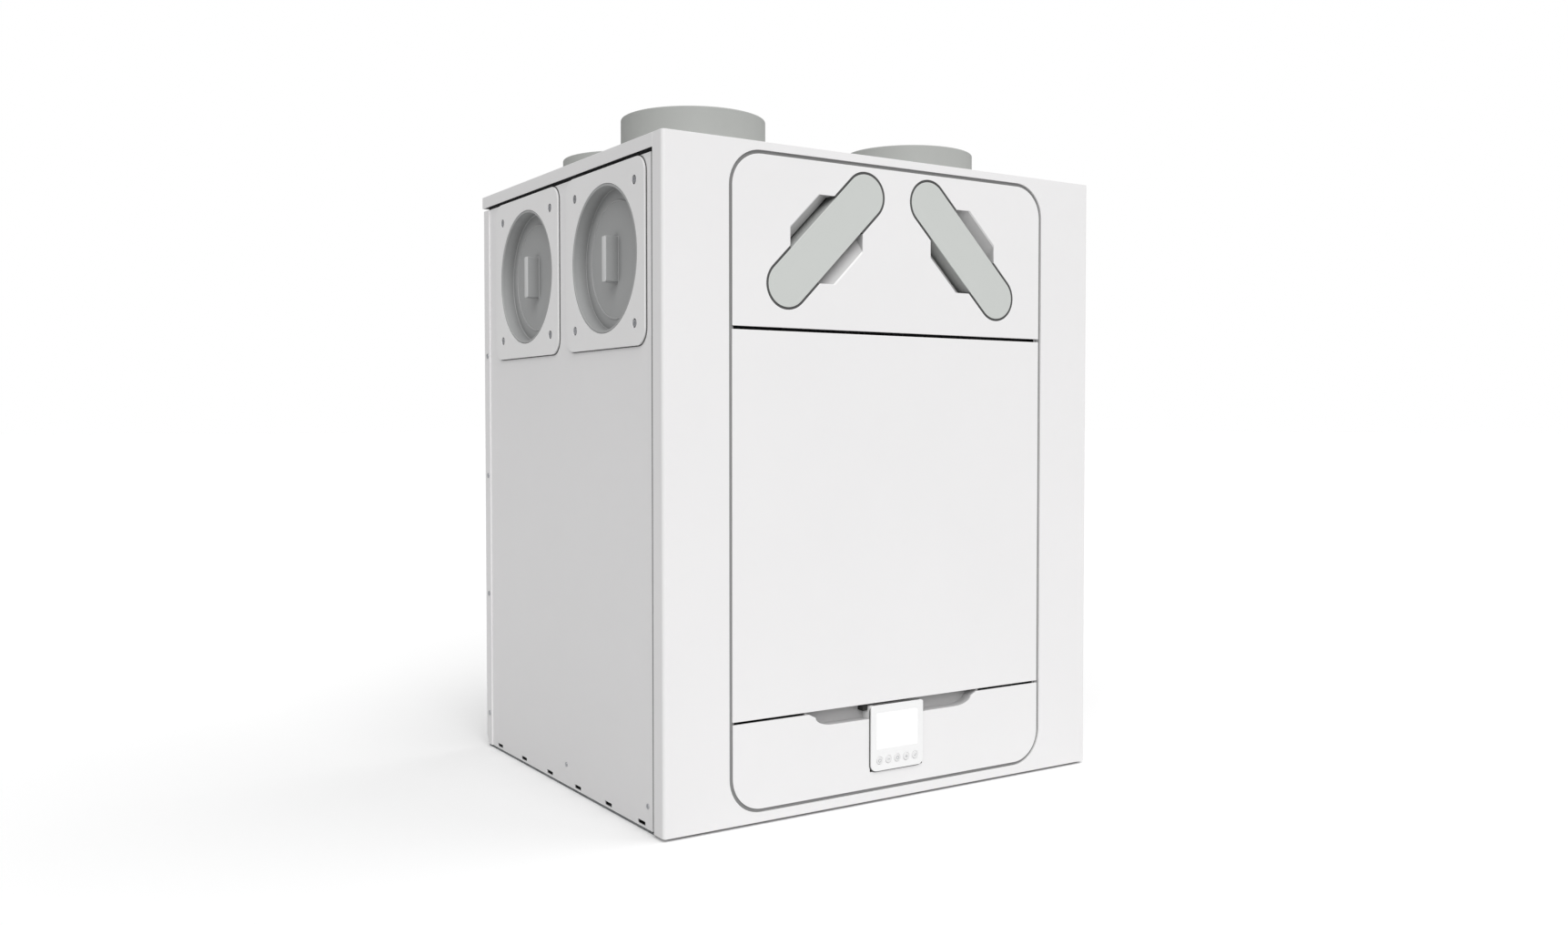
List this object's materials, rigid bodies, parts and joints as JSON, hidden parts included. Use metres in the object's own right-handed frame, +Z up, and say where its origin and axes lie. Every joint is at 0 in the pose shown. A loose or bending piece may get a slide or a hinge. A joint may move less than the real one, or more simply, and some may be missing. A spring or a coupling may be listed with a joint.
{
  "type": "heat recovery unit",
  "caption": "White box-shaped ventilation unit with heat recovery: duct spigots on top, blanked side ports, inclined filter covers, a service panel and a controller.",
  "frame": {"origin": "middle of the underside, on the floor", "axes": "+X to the right seen from the front, +Y to the back, +Z up"},
  "size_m": [0.66, 0.562, 0.8485],
  "materials": {
    "casing_white": "satin",
    "front_white": "satin",
    "front_plastic": "satin",
    "port_white": "satin",
    "cover_grey": "satin",
    "cap_grey": "matte",
    "spigot_grey": "matte",
    "seal_grey": "matte",
    "seal_black": "matte",
    "zinc_steel": "satin",
    "display_white": "satin",
    "key_white": "matte",
    "screen_white": "gloss",
    "board_green": "satin",
    "foam_grey": "matte",
    "exchanger_film": "satin",
    "frame_dark": "satin",
    "strap_black": "matte",
    "filter_card": "matte",
    "filter_wool": "matte",
    "fan_black": "satin",
    "impeller_white": "satin",
    "motor_metal": "satin",
    "gland_black": "satin"
  },
  "bodies": {
    "casing": {"front_frame": "casing_white", "front_seal": "seal_grey", "upper_front_panel": "front_plastic", "lower_front_panel": "front_plastic", "left_side_panel": "casing_white", "right_side_panel": "casing_white", "rear_panel": "casing_white", "top_panel": "casing_white", "base_tray": "zinc_steel", "wall_bracket": "zinc_steel", "rear_buffers": "seal_black", "casing_screws": "zinc_steel", "side_port_plates": "port_white", "spigot_left_front": "spigot_grey", "spigot_left_rear": "spigot_grey", "spigot_right_front": "spigot_grey", "spigot_right_rear": "spigot_grey", "display_housing": "display_white", "display_screen": "screen_white", "display_board": "board_green", "exchanger_plates": "exchanger_film", "exchanger_frame": "frame_dark", "exchanger_strap": "strap_black", "foam_top": "foam_grey", "foam_surround": "foam_grey", "foam_rear": "foam_grey", "foam_base": "foam_grey", "fan_scrolls": "fan_black", "fan_inlet_rings": "fan_black", "fan_motors": "motor_metal", "bypass_frame": "frame_dark", "bypass_actuator": "fan_black", "condensate_tray": "frame_dark", "drain_socket": "gland_black", "control_box": "fan_black", "control_board": "board_green", "temperature_sensors": "zinc_steel", "cable_glands": "gland_black"},
    "service_panel": {"service_panel": "front_white", "service_panel_liner": "foam_grey"},
    "filter_left": {"filter_frame_left": "filter_card", "filter_media_left": "filter_wool"},
    "filter_right": {"filter_frame_right": "filter_card", "filter_media_right": "filter_wool"},
    "cover_left": {"filter_cover_left": "cover_grey", "cover_seal_left": "seal_black"},
    "cover_right": {"filter_cover_right": "cover_grey", "cover_seal_right": "seal_black"},
    "key_1": {"key_1": "key_white"},
    "key_2": {"key_2": "key_white"},
    "key_3": {"key_3": "key_white"},
    "key_4": {"key_4": "key_white"},
    "key_5": {"key_5": "key_white"},
    "impeller_left": {"impeller_left": "impeller_white"},
    "impeller_right": {"impeller_right": "impeller_white"},
    "bypass_flap": {"bypass_flap": "motor_metal"},
    "cap_left_front": {"cap_left_front": "cap_grey"},
    "cap_left_rear": {"cap_left_rear": "cap_grey"},
    "cap_right_front": {"cap_right_front": "cap_grey"},
    "cap_right_rear": {"cap_right_rear": "cap_grey"}
  },
  "joints": [
    {"name": "service_panel_swing", "type": "hinge", "parent": "casing", "child": "service_panel", "pos_m": [0, -0.275, 0.5818], "axis": [-1, 0, 0], "range_deg": [0, 35]},
    {"name": "filter_left_slide", "type": "slide", "parent": "casing", "child": "filter_left", "axis": [0, -1, 0], "range_m": [0, 0.27]},
    {"name": "cover_left_pull", "type": "slide", "parent": "filter_left", "child": "cover_left", "axis": [0, -1, 0], "range_m": [0, 0.08]},
    {"name": "filter_right_slide", "type": "slide", "parent": "casing", "child": "filter_right", "axis": [0, -1, 0], "range_m": [0, 0.27]},
    {"name": "cover_right_pull", "type": "slide", "parent": "filter_right", "child": "cover_right", "axis": [0, -1, 0], "range_m": [0, 0.08]},
    {"name": "key_1_press", "type": "slide", "parent": "casing", "child": "key_1", "axis": [0, 1, 0], "range_m": [0, 0.0008], "stiffness_N_per_m": 400, "springref_m": -0.001},
    {"name": "key_2_press", "type": "slide", "parent": "casing", "child": "key_2", "axis": [0, 1, 0], "range_m": [0, 0.0008], "stiffness_N_per_m": 400, "springref_m": -0.001},
    {"name": "key_3_press", "type": "slide", "parent": "casing", "child": "key_3", "axis": [0, 1, 0], "range_m": [0, 0.0008], "stiffness_N_per_m": 400, "springref_m": -0.001},
    {"name": "key_4_press", "type": "slide", "parent": "casing", "child": "key_4", "axis": [0, 1, 0], "range_m": [0, 0.0008], "stiffness_N_per_m": 400, "springref_m": -0.001},
    {"name": "key_5_press", "type": "slide", "parent": "casing", "child": "key_5", "axis": [0, 1, 0], "range_m": [0, 0.0008], "stiffness_N_per_m": 400, "springref_m": -0.001},
    {"name": "impeller_left_spin", "type": "hinge", "parent": "casing", "child": "impeller_left", "pos_m": [-0.19, 0.15, 0.2], "axis": [0, 1, 0], "continuous": true},
    {"name": "impeller_right_spin", "type": "hinge", "parent": "casing", "child": "impeller_right", "pos_m": [0.19, 0.15, 0.2], "axis": [0, 1, 0], "continuous": true},
    {"name": "bypass_flap_turn", "type": "hinge", "parent": "casing", "child": "bypass_flap", "pos_m": [0.288, -0.08, 0.461], "axis": [0, 1, 0], "range_deg": [0, 88]},
    {"name": "cap_left_front_pull", "type": "slide", "parent": "casing", "child": "cap_left_front", "axis": [-1, 0, 0], "range_m": [0, 0.05]},
    {"name": "cap_left_rear_pull", "type": "slide", "parent": "casing", "child": "cap_left_rear", "axis": [-1, 0, 0], "range_m": [0, 0.05]},
    {"name": "cap_right_front_pull", "type": "slide", "parent": "casing", "child": "cap_right_front", "axis": [1, 0, 0], "range_m": [0, 0.05]},
    {"name": "cap_right_rear_pull", "type": "slide", "parent": "casing", "child": "cap_right_rear", "axis": [1, 0, 0], "range_m": [0, 0.05]}
  ]
}
